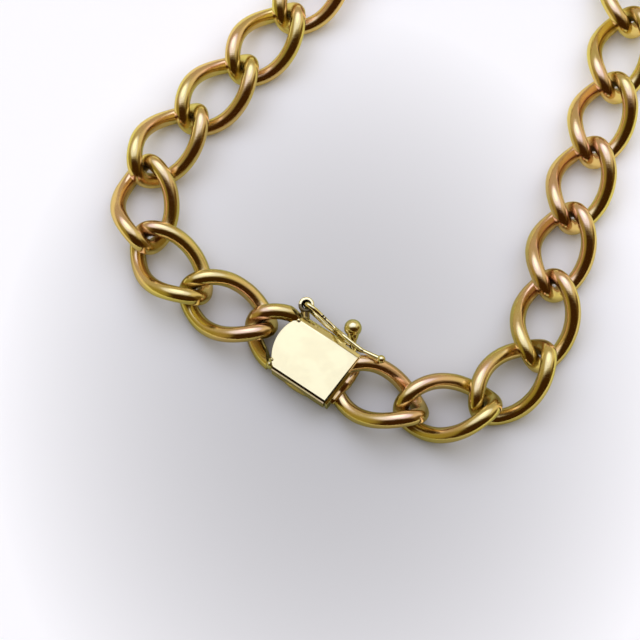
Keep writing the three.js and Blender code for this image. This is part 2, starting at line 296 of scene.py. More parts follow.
LINK_GOLD = gold(
    "deep_gold", main=(0.81, 0.65, 0.28), other=(0.85, 0.58, 0.39), patch_scale=140,
    roughness=(0.13, 0.25), hair=700, dent=420, relief=0.010 * MM,
)
CLASP_GOLD = gold(
    "pale_gold", main=(0.93, 0.83, 0.46), other=(0.89, 0.78, 0.43), patch_scale=450,
    roughness=(0.12, 0.24), hair=1500, dent=600, relief=0.004 * MM,
)
SOLDER = gold(
    "pitted_solder", main=(0.86, 0.80, 0.46), other=(0.82, 0.68, 0.36), patch_scale=900,
    roughness=(0.18, 0.34), hair=1200, dent=1300, relief=0.03 * MM,
)
print("metals:", LINK_GOLD.name, CLASP_GOLD.name, SOLDER.name)

# %% [markdown]
# ## The shape of one curb link
#
# A curb link starts as an oval of round wire and is twisted until it lies flat against its
# neighbours. The oval is a little fuller than an ellipse. Its centre line follows a formula,
# and a ring of round wire, spun from one circle, is laid along that line. The line is that of
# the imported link, and the wire laid along it is 0.02 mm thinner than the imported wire.

# %% The centre line of a link
PACKED_WIRE = 1.8 * MM
WIRE = 1.78 * MM
LINK_LENGTH = 12.1 * MM
LINK_WIDTH = 7.85 * MM
LINK_TWIST = math.radians(53)
OVAL_POWER = 2.2
HALF_LENGTH = (LINK_LENGTH - PACKED_WIRE) / 2
HALF_WIDTH = (LINK_WIDTH - PACKED_WIRE) / 2


def full(value):
    """A cosine or sine pushed outwards, which makes an oval fuller than an ellipse."""
    return math.copysign(abs(value) ** (2 / OVAL_POWER), value)


def link_centre(angle):
    x = HALF_LENGTH * full(math.cos(angle))
    y = HALF_WIDTH * full(math.sin(angle))
    twist = -LINK_TWIST * x / HALF_LENGTH
    return Vector((x, y * math.cos(twist), y * math.sin(twist)))


line_size = [round(2 * half / MM, 2) for half in (HALF_LENGTH, HALF_WIDTH)]
print("centre line before the twist, in mm:", line_size)

# %% [markdown]
# ## Wire laid along a closed line
#
# Blender could bevel a curve into a tube, but a curve gives little control over each section.
# Here a circle is spun once round to make a plain ring. Each of its vertices knows its place
# along the ring and in the section, so it can be carried over to the same place on the line.

# %% Spin a ring and lay it along a line
RING = 1.0


def laid_wire(centre, side, radius, stations, sides, swell=None):
    """A closed wire along centre(angle). side(angle) says which way the section faces."""
    bm = bmesh.new()
    place = Matrix.Translation((RING, 0, 0)) @ Matrix.Rotation(math.pi / 2, 4, "X")
    bmesh.ops.create_circle(bm, segments=sides, radius=RING / 4, matrix=place)
    bmesh.ops.spin(
        bm, geom=bm.edges[:], cent=(0, 0, 0), axis=(0, 0, 1),
        angle=2 * math.pi, steps=stations, use_merge=True,
    )
    frames = {}
    step = math.pi / stations
    for vert in bm.verts:
        angle = math.atan2(vert.co.y, vert.co.x)
        key = round(angle * stations / (2 * math.pi)) % stations
        if key not in frames:
            along = (centre(angle + step) - centre(angle - step)).normalized()
            out = side(angle)
            out = (out - along * out.dot(along)).normalized()
            size = radius * (swell(angle) if swell else 1)
            frames[key] = (centre(angle), out * size, along.cross(out) * size)
        middle, out, up = frames[key]
        outward = (vert.co.xy.length - RING) / (RING / 4)
        upward = vert.co.z / (RING / 4)
        vert.co = middle + out * outward + up * upward
    bm.normal_update()
    bmesh.ops.recalc_face_normals(bm, faces=bm.faces)
    smooth_all(bm)
    return bm


LINK_STATIONS = 144
LINK_SIDES = 32


def link_wire(swell=None):
    return laid_wire(link_centre, link_centre, WIRE / 2, LINK_STATIONS, LINK_SIDES, swell)


sample = link_wire()
sample_volume = round(sample.calc_volume() / MM**3, 1)
print("one link:", len(sample.verts), "vertices, volume", sample_volume, "mm3")
sample.free()

# %% [markdown]
# ## Where each link lies
#
# Each CAD link has the same shape as the fine one. A link looks the same after half a turn
# about any of its three axes, so those axes are the principal axes of its surface. They are
# found from the surface's second moments, longest first, and that is the link's whole pose.

# %% The pose of a CAD link from its surface
def principal_frame(name):
    mesh = frame["nodes"][name].data
    mesh.calc_loop_triangles()
    points = np.array([vert.co for vert in mesh.vertices])
    corners = points[np.array([triangle.vertices for triangle in mesh.loop_triangles])]
    areas = np.array([triangle.area for triangle in mesh.loop_triangles])
    centres = corners.mean(axis=1)
    middle = (centres * areas[:, None]).sum(axis=0) / areas.sum()
    arms = corners - middle
    sums = arms.sum(axis=1)
    moments = np.einsum("t,tki,tkj->ij", areas, arms, arms)
    moments += np.einsum("t,ti,tj->ij", areas, sums, sums)
    axes = np.linalg.eigh(moments)[1][:, ::-1]
    long_axis = Vector(axes[:, 0])
    wide_axis = Vector(axes[:, 1])
    rotation = Matrix((long_axis, wide_axis, long_axis.cross(wide_axis))).transposed()
    return Matrix.Translation(Vector(middle)) @ rotation.to_4x4()


link_names = sorted(name for name in frame["nodes"] if name.startswith("link_"))
link_places = {name: principal_frame(name) for name in link_names}
print("free links:", len(link_names))

# %% [markdown]
# ## The free links
#
# Each link is closed at one end, and the joint leaves a faint ring on the wire, which is
# raised more on one link. A ring could be added as a mesh of its own. Here the wire's radius
# swells instead, so a link stays one closed tube. A little noise on the surface breaks the
# reflections up. Shade is painted on the inner side of the ends, where one link meets the next.

# %% Build the twenty free links
SEAM_WIDTH = 0.05
SEAM_RISE = {"link_02": 0.07}
PLAIN_SEAM_RISE = 0.012
HAND_DENT = 0.016 * MM
DENT_LENGTH = 2.2 * MM
CONTACT_START = 2.4 * MM
CONTACT_FADE = 1.8 * MM
CONTACT_SHADE = 0.7


def contact_shade(bm):
    """Paints shade on the inner side of both ends of a link, fading out along its arms."""
    bm.normal_update()
    layer = bm.loops.layers.float.new("painted_shade")
    for vert in bm.verts:
        end = min(max((abs(vert.co.x) - CONTACT_START) / CONTACT_FADE, 0), 1)
        inner = max(-vert.normal.dot(vert.co.normalized()), 0)
        for corner in vert.link_loops:
            corner[layer] = CONTACT_SHADE * end * inner


def seam_swell(rise):
    def swell(angle):
        return 1 + rise * math.exp(-((angle / SEAM_WIDTH) ** 2))
    return swell


for number, name in enumerate(link_names, start=1):
    bm = link_wire(seam_swell(SEAM_RISE.get(name, PLAIN_SEAM_RISE)))
    roughen(bm, HAND_DENT, DENT_LENGTH, number)
    contact_shade(bm)
    piece(f"wire_{name}", bm, link_places[name], LINK_GOLD, name, "bracelet")
print("built", len(made), "links")

# %% [markdown]
# ## The box of the clasp
#
# The box is folded from sheet. A flat cover lies on a shallow tray, and its inner long edge
# rolls down over the tray's wall. Its closed end is an arc, and its mouth is a little skew.
# The outline comes from one corner, spun round the arc's centre, and the other corners.

# %% The outline of the box
SHEET = 0.4 * MM
CLOSED_END = -3.75 * MM
MOUTH = 3.55 * MM
MOUTH_SKEW = math.radians(3)
END_SKEW = math.radians(4.5)
BOX_BOTTOM = 1.0 * MM
BOX_END_BULGE = 1.35 * MM
FACE_HALF = 3.3 * MM
INNER_SIDE = 3.8 * MM
SLOT_START = 1.7 * MM
ARC_STEPS = 24


def box_outline(bm, height, outer_grow, inner_side, trim=0.0):
    """One face with the plan of the box, grown at the outer edge, trimmed over the slot."""
    radius = (FACE_HALF**2 + BOX_END_BULGE**2) / (2 * BOX_END_BULGE)
    centre = Vector((CLOSED_END - BOX_END_BULGE + radius, 0, height))
    spread = math.asin(FACE_HALF / radius)
    start = bm.verts.new((CLOSED_END, FACE_HALF, height))
    arc = bmesh.ops.spin(
        bm, geom=[start], cent=centre, axis=(0, 0, 1), angle=2 * spread, steps=ARC_STEPS
    )
    end = [item for item in arc["geom_last"] if isinstance(item, bmesh.types.BMVert)][0]
    for vert in bm.verts:
        vert.co.x -= vert.co.y * math.tan(END_SKEW)
    skew = math.tan(MOUTH_SKEW)
    outer = bm.verts.new((MOUTH - FACE_HALF * skew, -FACE_HALF, height))
    inner_line = [(MOUTH + inner_side * skew, inner_side - trim)]
    if trim:
        inner_line += [(SLOT_START, inner_side - trim), (SLOT_START, inner_side)]
    inner_line.append((CLOSED_END, inner_side))
    corners = [end, outer] + [bm.verts.new((x, y, height)) for x, y in inner_line] + [start]
    for pair in zip(corners, corners[1:]):
        bm.edges.new(pair)
    for vert in (end, outer):
        vert.co.y -= outer_grow
    return bmesh.ops.contextual_create(bm, geom=bm.edges[:])["faces"][0]


def raised(bm, faces, rise):
    """Extrudes faces straight up by a rise."""
    lifted = bmesh.ops.extrude_face_region(bm, geom=faces)["geom"]
    top = [item for item in lifted if isinstance(item, bmesh.types.BMVert)]
    bmesh.ops.translate(bm, verts=top, vec=(0, 0, rise))


def softened(bm, edges, width, segments):
    bmesh.ops.bevel(
        bm, geom=edges, offset=width, offset_type="OFFSET", affect="EDGES",
        segments=segments, profile=0.5, material=-1, clamp_overlap=True,
    )


ON_PLANE = 1e-7


def cut_across(bm, place, direction):
    """Cuts every face along a plane and removes nothing."""
    everything = bm.verts[:] + bm.edges[:] + bm.faces[:]
    bmesh.ops.bisect_plane(bm, geom=everything, plane_co=place, plane_no=direction, dist=ON_PLANE)


CRISP = math.radians(35)
FLAT_AREA = 0.6 * MM**2


def shade_by_angle(bm):
    """Smooth faces with crisp edges between them. Large flat faces stay flat."""
    bm.normal_update()
    for face in bm.faces:
        face.smooth = face.calc_area() < FLAT_AREA
    for edge in bm.edges:
        edge.smooth = len(edge.link_faces) == 2 and edge.calc_face_angle() < CRISP


def paint_face_shade(bm, share_at):
    """Paints shade on each face: how dark and dull it is, from its place and facing."""
    bm.normal_update()
    layer = bm.loops.layers.float.new("painted_shade")
    for face in bm.faces:
        share = share_at(face.calc_center_median(), face.normal)
        for corner in face.loops:
            corner[layer] = share


box_size = [round(length / MM, 2) for length in (MOUTH - CLOSED_END, FACE_HALF + INNER_SIDE)]
print("box without its round end, long and wide, in mm:", box_size)

# %% [markdown]
# The cover is a thin plate. Its inner long edge is cut into strips, and the strips are let
# down along a slope that ends in a round edge. Over the slot for the knob that edge is
# trimmed back. A bevel would make a plain quarter circle, while a table of drops sets the
# slope freely. Faint waves across the slope draw its reflections out into long streaks.

# %% The cover
COVER = 0.35 * MM
COVER_INSET = 0.1 * MM
COVER_SOFTNESS = 0.05 * MM
ROLL = [
    {"reach": 0.0, "drop": 0.0},
    {"reach": 0.1, "drop": 0.01},
    {"reach": 0.2, "drop": 0.045},
    {"reach": 0.35, "drop": 0.125},
    {"reach": 0.55, "drop": 0.24},
    {"reach": 0.75, "drop": 0.37},
    {"reach": 0.9, "drop": 0.5},
    {"reach": 1.0, "drop": 0.65},
    {"reach": 1.05, "drop": 0.85},
]
ROLL_STEPS = 16
ROLL_START = INNER_SIDE - ROLL[-1]["reach"] * MM
ROLL_WAVE = 0.005 * MM
ROLL_WAVE_LENGTH = 0.27 * MM
SLOT_TRIM = 0.4 * MM
SHARP_CORNER = math.radians(60)
LEVEL = 0.9999
FACING = 0.9
UNDERSIDE_SHADE = 0.9


def between_rows(table, place, key, value):
    """The value at a place, read from a table and joined by straight lines between its rows."""
    for first, second in zip(table, table[1:]):
        if place <= second[key]:
            share = max(0, (place - first[key]) / (second[key] - first[key]))
            return first[value] + (second[value] - first[value]) * share
    return table[-1][value]


def rolled_down(bm):
    """Lets the strip along the inner side down by the table."""
    widest = ROLL[-1]["reach"] * MM
    for step in range(ROLL_STEPS + 1):
        share = math.sin(math.pi / 2 * step / (ROLL_STEPS + 1))
        cut_across(bm, (0, ROLL_START + widest * share, 0), (0, 1, 0))
    for vert in bm.verts:
        reach = vert.co.y - ROLL_START
        if reach > 0:
            wave = ROLL_WAVE * math.sin(2 * math.pi * reach / ROLL_WAVE_LENGTH)
            vert.co.z -= between_rows(ROLL, reach / MM, "reach", "drop") * MM + wave


def sharp_edges(bm):
    pairs = [edge for edge in bm.edges if len(edge.link_faces) == 2]
    return [edge for edge in pairs if edge.calc_face_angle() > SHARP_CORNER]


def cover_bmesh():
    bm = bmesh.new()
    face = box_outline(bm, BOX_TOP - COVER, -COVER_INSET, INNER_SIDE, SLOT_TRIM)
    raised(bm, [face], COVER)
    bmesh.ops.recalc_face_normals(bm, faces=bm.faces)
    softened(bm, sharp_edges(bm), COVER_SOFTNESS, 2)
    rolled_down(bm)
    shade_by_angle(bm)
    for face in bm.faces:
        face.smooth = abs(face.normal.z) < LEVEL
    # Painted shade: the cover's underside is painted dark.
    paint_face_shade(bm, lambda middle, normal: UNDERSIDE_SHADE if normal.z < -FACING else 0)
    return bm


piece("box_cover", cover_bmesh(), CLASP, CLASP_GOLD, "clasp_box", "bracelet")

# %% [markdown]
# The tray is a real shell. It is extruded from the same outline, its top, its mouth and the
# slot for the knob are opened, and solidify gives its walls their thickness. A thin lip
# stands on the outer wall, clear of the cover. Shade is painted in the groove between them, on the
# lip's top and inside the tray.

# %% The tray
TRAY_TOP = BOX_TOP - COVER - 0.02 * MM
TRAY_OUTER_GROW = 0.22 * MM
TRAY_INNER_SIDE = INNER_SIDE - 0.14 * MM
TRAY_INNER_FALL = 0.33 * MM
TRAY_WALL = 0.3 * MM
LIP = 0.15 * MM
LIP_RISE = 0.15 * MM
LIP_SHADE = 0.45
INSIDE_SHADE = 0.5
FOOT_ROUND = 0.35 * MM
HAIR_BREADTH = 0.001 * MM
SLOT_LOW = 1.6 * MM


def open_tray(bm):
    """Removes the top, the mouth and the slot."""
    cut_across(bm, (SLOT_START, 0, 0), (1, 0, 0))
    cut_across(bm, (0, 0, SLOT_LOW), (0, 0, 1))
    bm.normal_update()
    gone = []
    for face in bm.faces:
        middle = face.calc_center_median()
        top = face.normal.z > FACING
        mouth = face.normal.x > FACING
        in_slot = middle.x > SLOT_START and middle.z > SLOT_LOW
        if top or mouth or (in_slot and face.normal.y > FACING):
            gone.append(face)
    bmesh.ops.delete(bm, geom=gone, context="FACES")


def tray_bmesh():
    bm = bmesh.new()
    face = box_outline(bm, BOX_BOTTOM, TRAY_OUTER_GROW, TRAY_INNER_SIDE)
    raised(bm, [face], TRAY_TOP - BOX_BOTTOM)
    bmesh.ops.recalc_face_normals(bm, faces=bm.faces)
    low = BOX_BOTTOM + SHEET / 2
    foot = [edge for edge in sharp_edges(bm) if max(v.co.z for v in edge.verts) < low]
    softened(bm, foot, FOOT_ROUND, 5)
    open_tray(bm)
    bmesh.ops.solidify(bm, geom=bm.faces[:], thickness=TRAY_WALL)
    bmesh.ops.recalc_face_normals(bm, faces=bm.faces)
    for vert in bm.verts:
        if vert.co.z > TRAY_TOP - LIP and vert.co.y > FACE_HALF + COVER_INSET / 2:
            vert.co.z -= TRAY_INNER_FALL
    groove = -FACE_HALF - TRAY_OUTER_GROW + LIP
    cut_across(bm, (0, groove, 0), (0, 1, 0))
    bm.normal_update()
    level = [face for face in bm.faces if face.normal.z > FACING]
    rim = [face for face in level if face.calc_center_median().z > TRAY_TOP - HAIR_BREADTH]
    lip = [face for face in rim if face.calc_center_median().y < groove]
    raised(bm, lip, LIP_RISE)
    bmesh.ops.delete(bm, geom=[face for face in lip if face.is_valid], context="FACES")
    bmesh.ops.recalc_face_normals(bm, faces=bm.faces)
    shade_by_angle(bm)

    # Painted shade: black in the groove by the lip, darker on the lip's top and inside the tray.
    def tray_shade(middle, normal):
        outside = abs(middle.y) > FACE_HALF or middle.z < BOX_BOTTOM + SHEET / 2
        top = middle.z > TRAY_TOP - HAIR_BREADTH
        if top and middle.y < 0:
            return 1.0 if middle.y > groove else LIP_SHADE
        return 0.0 if outside else INSIDE_SHADE

    paint_face_shade(bm, tray_shade)
    return bm


piece("box_tray", tray_bmesh(), CLASP, LINK_GOLD, "clasp_box", "bracelet")

# %% [markdown]
# ## The soldered half links
#
# The end links are cut through and soldered to the clasp. Each one is the same twisted wire,
# cut with planes and closed with flat cut faces. The arms on the box are also filed off
# aslant, so that their ends run in towards the corners of the box.

# %% Cut a link and close the cut
PLATE_GAP = 0.1 * MM
PLATE_THICK = 0.34 * MM
PLATE_FACE = MOUTH + PLATE_GAP + PLATE_THICK
SOLDER_BITE = 0.1 * MM
SKEWED = Matrix.Rotation(-MOUTH_SKEW, 4, "Z")


def cut_off(bm, place, toward, side=0):
    """Removes what lies beyond a plane, at one side of the clasp if told, and closes the cut."""
    geometry = bm.verts[:] + bm.edges[:] + bm.faces[:]
    if side:
        def on_side(item):
            verts = [item] if isinstance(item, bmesh.types.BMVert) else item.verts
            return all(vert.co.y * side > 0 for vert in verts)
        geometry = [item for item in geometry if on_side(item)]
    bmesh.ops.bisect_plane(
        bm, geom=geometry, dist=ON_PLANE, plane_co=place, plane_no=toward, clear_outer=True
    )
    bmesh.ops.holes_fill(bm, edges=[edge for edge in bm.edges if edge.is_boundary])


REST_STEPS = 240


def resting_height(turn):
    """The height at which a turned link just touches the table."""
    angles = [2 * math.pi * step / REST_STEPS for step in range(REST_STEPS)]
    return PACKED_WIRE / 2 - min((turn @ link_centre(angle)).z for angle in angles)


ARMS_END = CLOSED_END - 0.5 * MM
BOX_LINK_PLACE = (CLOSED_END + 0.45 * MM, 0.3 * MM)
TONGUE_LINK_PLACE = (7.75 * MM, 0.85 * MM)
TONGUE_LINK_TURN = math.radians(9)
TONGUE_LINK_ROLL = math.radians(-6)
FILED_HEIGHT = 3.2
FILED = [
    {"through": (-5.63, 3.855), "toward": (0.405, 0.914, 0.45), "side": 1},
    {"through": (-5.34, -2.43), "toward": (0.681, 0.732, 0.3), "side": -1},
]


def laid_link(place, turn):
    """A whole link, turned and laid on the table at a place beside the clasp."""
    bm = link_wire()
    contact_shade(bm)
    move = Matrix.Translation((*place, resting_height(turn)))
    bmesh.ops.transform(bm, matrix=move @ turn.to_4x4(), verts=bm.verts)
    return bm


def box_link_bmesh():
    bm = laid_link(BOX_LINK_PLACE, Matrix.Identity(3))
    cut_off(bm, (ARMS_END, 0, 0), (1, 0, 0))
    for row in FILED:
        x, y = row["through"]
        cut_off(bm, Vector((x, y, FILED_HEIGHT)) * MM, row["toward"], row["side"])
    shade_by_angle(bm)
    return bm


piece("box_link", box_link_bmesh(), CLASP, LINK_GOLD, "clasp_box", "bracelet")


def tongue_link_bmesh():
    turn = Matrix.Rotation(TONGUE_LINK_TURN, 3, "Z") @ Matrix.Rotation(TONGUE_LINK_ROLL, 3, "X")
    bm = laid_link(TONGUE_LINK_PLACE, turn)
    start = SKEWED @ Vector((PLATE_FACE - SOLDER_BITE, 0, 0))
    cut_off(bm, start, SKEWED @ Vector((-1, 0, 0)))
    shade_by_angle(bm)
    return bm


piece("tongue_link", tongue_link_bmesh(), CLASP, LINK_GOLD, "clasp_tongue", "bracelet")

# %% [markdown]
# ## Turned pieces
#
# The knob, the tube and the solder bead are round about one axis. A short profile, drawn from
# the axis and back to it or closed in itself, is spun once round. Drops of solder are small
# spheres, stretched and roughened.

# %% Lathe and drop helpers
TURNED_STEPS = 48
WELD = 0.001 * MM
DROP_FINENESS = 4
DROP_GRAIN = 0.6 * MM


def turned(profile, start, toward, closed=False):
    """Spins a profile of (along, radius) points about the line from start toward a point."""
    bm = bmesh.new()
    points = [bm.verts.new((radius, 0, along)) for along, radius in profile]
    for first, second in zip(points, points[1:] + points[:1] if closed else points[1:]):
        bm.edges.new((first, second))
    bmesh.ops.spin(
        bm, geom=bm.verts[:] + bm.edges[:], cent=(0, 0, 0), axis=(0, 0, 1),
        angle=2 * math.pi, steps=TURNED_STEPS, use_merge=True,
    )
    bmesh.ops.remove_doubles(bm, verts=bm.verts, dist=WELD)
    bmesh.ops.recalc_face_normals(bm, faces=bm.faces)
    shade_by_angle(bm)
    turn = (toward - start).to_track_quat("Z", "Y").to_matrix().to_4x4()
    bmesh.ops.transform(bm, matrix=Matrix.Translation(start) @ turn, verts=bm.verts)
    return bm


def half_round(middle, radius, first=0.0, steps=12):
    """Profile points of a ball, from the angle first to its far pole."""
    angles = [first + (math.pi - first) * step / steps for step in range(steps + 1)]
    return [(middle - radius * math.cos(angle), radius * math.sin(angle)) for angle in angles]


def drop(middle, half_sizes, seed, uneven):
    bm = bmesh.new()
    shape = Matrix.Translation(middle) @ Matrix.Diagonal((*half_sizes, 1))
    bmesh.ops.create_icosphere(bm, subdivisions=DROP_FINENESS, radius=1, matrix=shape)
    roughen(bm, uneven * MM, DROP_GRAIN, seed)
    smooth_all(bm)
    return bm


def merged(*parts):
    """Several bmeshes put into one."""
    whole = bmesh.new()
    for part in parts:
        mesh = bpy.data.meshes.new("part")
        part.to_mesh(mesh)
        part.free()
        whole.from_mesh(mesh)
        bpy.data.meshes.remove(mesh)
    return whole


# %% [markdown]
# ## Solder on the box
#
# The filed arms of the end link meet the box at its two corners. Each joint is a pale blob,
# which runs up over the cover, on a broader, lower one. A long low swell closes the seam.

# %% Drops of solder on the box
SOLDER_DROPS = [
    {"x": -4.12, "y": 2.8, "z": 3.1, "half_x": 0.46, "half_y": 0.42, "half_z": 0.62},
    {"x": -4.15, "y": 2.85, "z": 2.2, "half_x": 0.65, "half_y": 0.7, "half_z": 0.85},
    {"x": -4.08, "y": -2.55, "z": 3.12, "half_x": 0.4, "half_y": 0.34, "half_z": 0.6},
    {"x": -4.1, "y": -2.9, "z": 2.2, "half_x": 0.5, "half_y": 0.5, "half_z": 0.75},
]
SWELL = {"x": -0.4, "y": -3.3, "z": 1.6, "half_x": 1.8, "half_y": 0.42, "half_z": 0.7}


def drop_row(row, seed, uneven):
    middle = Vector((row["x"], row["y"], row["z"])) * MM
    half_sizes = [row["half_x"] * MM, row["half_y"] * MM, row["half_z"] * MM]
    return drop(middle, half_sizes, seed, uneven)


drops = [drop_row(row, number, uneven=0.06) for number, row in enumerate(SOLDER_DROPS, start=31)]
piece("box_solder", merged(*drops), CLASP, SOLDER, "clasp_box", "bracelet")
seam = drop_row(SWELL, seed=37, uneven=0.04)
piece("seam_solder", seam, CLASP, LINK_GOLD, "clasp_box", "bracelet")

# %% [markdown]
# ## The tongue
#
# The tongue is a spring: one sheet folded back on itself inside the box. A plate at its end
# closes the mouth. The plate's top edge is filed down towards the link, so it shows darker
# than the cover. The knob leans out of the slot in the side of the box.

# %% The plate
PLATE_INSET = 0.1 * MM
PLATE_FALL = 0.24 * MM
PLATE_SOFTNESS = 0.05 * MM


def block(low, high):
    bm = bmesh.new()
    place = Matrix.Translation((low + high) / 2) @ Matrix.Diagonal((*(high - low), 1))
    bmesh.ops.create_cube(bm, size=1, matrix=place)
    return bm


def plate_bmesh():
    low = Vector((MOUTH + PLATE_GAP, -FACE_HALF + PLATE_INSET, BOX_BOTTOM + PLATE_INSET))
    high = Vector((PLATE_FACE, INNER_SIDE - PLATE_INSET, BOX_TOP - PLATE_INSET))
    bm = block(low, high)
    for vert in bm.verts:
        if vert.co.x > PLATE_FACE - PLATE_THICK / 2 and vert.co.z > BOX_TOP - SHEET:
            vert.co.z -= PLATE_FALL
    softened(bm, bm.edges[:], PLATE_SOFTNESS, 2)
    bmesh.ops.transform(bm, matrix=SKEWED, verts=bm.verts)
    shade_by_angle(bm)
    return bm


piece("tongue_plate", plate_bmesh(), CLASP, CLASP_GOLD, "clasp_tongue", "bracelet")

# %% [markdown]
# The spring is one strip folded over. Two slabs and half a tube could be joined, but one line,
# swept round the fold, made wide and then thick, gives both leaves and the fold in one shell.

# %% The spring
PLAY = 0.3 * MM
SPRING_FOLD = CLOSED_END + 1.2 * MM
LEAF = 0.8 * SHEET
FOLD_STEPS = 12


def spring_bmesh():
    """Two leaves and the fold between them: a line swept round the fold, made wide and thick."""
    low = BOX_BOTTOM + SHEET + PLAY
    high = BOX_TOP - SHEET - PLAY
    half_width = FACE_HALF - SHEET - PLAY
    bm = bmesh.new()
    start = bm.verts.new((SPRING_FOLD, -half_width, high))
    bmesh.ops.spin(
        bm, geom=[start], cent=(SPRING_FOLD, 0, (low + high) / 2), axis=(0, -1, 0),
        angle=math.pi, steps=FOLD_STEPS,
    )
    ends = [vert for vert in bm.verts if len(vert.link_edges) == 1]
    for vert in ends:
        far = SLOT_START if vert.co.z > (low + high) / 2 else MOUTH + PLATE_GAP + PLATE_THICK / 2
        bm.edges.new((vert, bm.verts.new((far, -half_width, vert.co.z))))
    strip = bmesh.ops.extrude_edge_only(bm, edges=bm.edges[:])["geom"]
    moved = [item for item in strip if isinstance(item, bmesh.types.BMVert)]
    bmesh.ops.translate(bm, verts=moved, vec=(0, 2 * half_width, 0))
    bmesh.ops.recalc_face_normals(bm, faces=bm.faces)
    bmesh.ops.solidify(bm, geom=bm.faces[:], thickness=-LEAF)
    bmesh.ops.recalc_face_normals(bm, faces=bm.faces)
    shade_by_angle(bm)
    return bm


piece("tongue_spring", spring_bmesh(), CLASP, CLASP_GOLD, "clasp_tongue", "bracelet")

# %% [markdown]
# A wavy bead of solder runs across the plate between the two arms of the link. It is fat in
# the middle and thin towards the outer arm, so its profile is a short table.

# %% The bead of solder on the plate
BEAD = [
    {"along": -2.5, "radius": 0.3},
    {"along": -2.1, "radius": 0.46},
    {"along": -1.5, "radius": 0.42},
    {"along": -0.9, "radius": 0.4},
    {"along": -0.3, "radius": 0.56},
    {"along": 0.3, "radius": 0.68},
    {"along": 0.9, "radius": 0.62},
    {"along": 1.5, "radius": 0.5},
    {"along": 2.1, "radius": 0.5},
    {"along": 2.5, "radius": 0.3},
]
BEAD_STEPS = 60
BEAD_HEIGHT = 2.0 * MM
BEAD_RISE = 0.1 * MM
BEAD_OFF_PLATE = 0.05 * MM


def bead_radius(along):
    return between_rows(BEAD, along, "along", "radius")


bead_low = BEAD[0]["along"]
bead_length = BEAD[-1]["along"] - bead_low
bead_profile = [(0, 0)]
for step in range(BEAD_STEPS + 1):
    along = bead_length * step / BEAD_STEPS
    bead_profile.append((along * MM, bead_radius(bead_low + along) * MM))
bead_profile.append((bead_length * MM, 0))
bead_x = PLATE_FACE + BEAD_OFF_PLATE
bead_start = SKEWED @ Vector((bead_x, bead_low * MM, BEAD_HEIGHT))
bead_end = SKEWED @ Vector((bead_x, -bead_low * MM, BEAD_HEIGHT + BEAD_RISE))
bead = turned(bead_profile, bead_start, bead_end)
roughen(bead, amount=0.06 * MM, grain=0.8 * MM, seed=41)
piece("tongue_solder", bead, CLASP, LINK_GOLD, "clasp_tongue", "bracelet")

# %% [markdown]
# The knob is a turned ball with a small collar, on a neck. The neck starts from a lug that
# stands on the spring behind the slot.

# %% The knob and its lug
KNOB_RADIUS = 0.98 * MM
KNOB_NECK = 0.35 * MM
KNOB_CENTRE = Vector((1.25, 5.58, 2.85)) * MM
KNOB_ROOT = Vector((3.0, 3.0, 2.2)) * MM
COLLAR = [
    {"below_ball": 0.75, "wider": 0},
    {"below_ball": 0.45, "wider": 0.06},
    {"below_ball": 0.15, "wider": 0.2},
    {"below_ball": 0, "wider": 0.24},
]
KNOB_BALL_START = 0.72
LUG_BACK = 0.7 * MM
LUG_INSIDE = 0.7 * MM
LUG_START = 2.0 * MM
LUG_SOFTNESS = 0.06 * MM
reach = (KNOB_CENTRE - KNOB_ROOT).length
ball_foot = reach - KNOB_RADIUS
knob_profile = [(0, 0), (0, KNOB_NECK)]
for row in COLLAR:
    knob_profile.append((ball_foot - row["below_ball"] * MM, KNOB_NECK + row["wider"] * MM))
knob_profile += half_round(reach, KNOB_RADIUS, first=KNOB_BALL_START, steps=24)
knob = turned(knob_profile, KNOB_ROOT, KNOB_CENTRE)
smooth_all(knob)
roughen(knob, amount=0.02 * MM, grain=0.9 * MM, seed=51)
lug_low = Vector((KNOB_ROOT.x - LUG_BACK, LUG_START, BOX_BOTTOM + SHEET + PLAY))
lug_high = Vector((KNOB_ROOT.x + KNOB_NECK, INNER_SIDE - LUG_INSIDE, KNOB_ROOT.z + KNOB_NECK))
lug = block(lug_low, lug_high)
softened(lug, lug.edges[:], LUG_SOFTNESS, 2)
shade_by_angle(lug)
knob = merged(knob, lug)
piece("tongue_knob", knob, CLASP, CLASP_GOLD, "clasp_tongue", "bracelet")

# %% [markdown]
# ## The safety latch
#
# One thin wire passes through an upright tube at the corner of the box and is bent into a
# long loop with a waist. A shank with a ball is soldered to its end. The loop is a short
# table: the heights of its upper and lower runs, and how far each bows towards the box.

# %% The latch
LATCH_WIRE = 0.21 * MM
LATCH_HEADING = math.radians(-3.9)
LATCH_BALL = 0.46 * MM
TUBE = Vector((-4.5, 4.86, 2.85)) * MM
LATCH_LOOP = [
    {"along": 0, "high": 3.15, "high_bow": 0, "low": 2.55, "low_bow": 0},
    {"along": 0.2, "high": 3.57, "high_bow": 0, "low": 2.13, "low_bow": 0},
    {"along": 0.9, "high": 3.61, "high_bow": -0.02, "low": 2.09, "low_bow": 0.05},
    {"along": 1.8, "high": 3.3, "high_bow": -0.03, "low": 2.2, "low_bow": 0.17},
    {"along": 3.0, "high": 3.13, "high_bow": 0.07, "low": 2.17, "low_bow": 0.35},
    {"along": 4.2, "high": 2.99, "high_bow": 0.18, "low": 2.31, "low_bow": 0.38},
    {"along": 4.9, "high": 3.7, "high_bow": 0.34, "low": 1.8, "low_bow": 0.34},
    {"along": 5.6, "high": 4.11, "high_bow": 0.49, "low": 1.5, "low_bow": 0.34},
    {"along": 6.4, "high": 4.17, "high_bow": 0.54, "low": 1.48, "low_bow": 0.33},
    {"along": 7.2, "high": 4.18, "high_bow": 0.56, "low": 1.58, "low_bow": 0.3},
    {"along": 7.8, "high": 4.21, "high_bow": 0.57, "low": 1.95, "low_bow": 0.25},
    {"along": 8.3, "high": 4.2, "high_bow": 0.56, "low": 2.75, "low_bow": 0.2},
]


def latch_point(along, height, bow):
    """A point of the latch, in the frame of its tube."""
    return Vector((along * MM, -bow * MM, height * MM - TUBE.z))


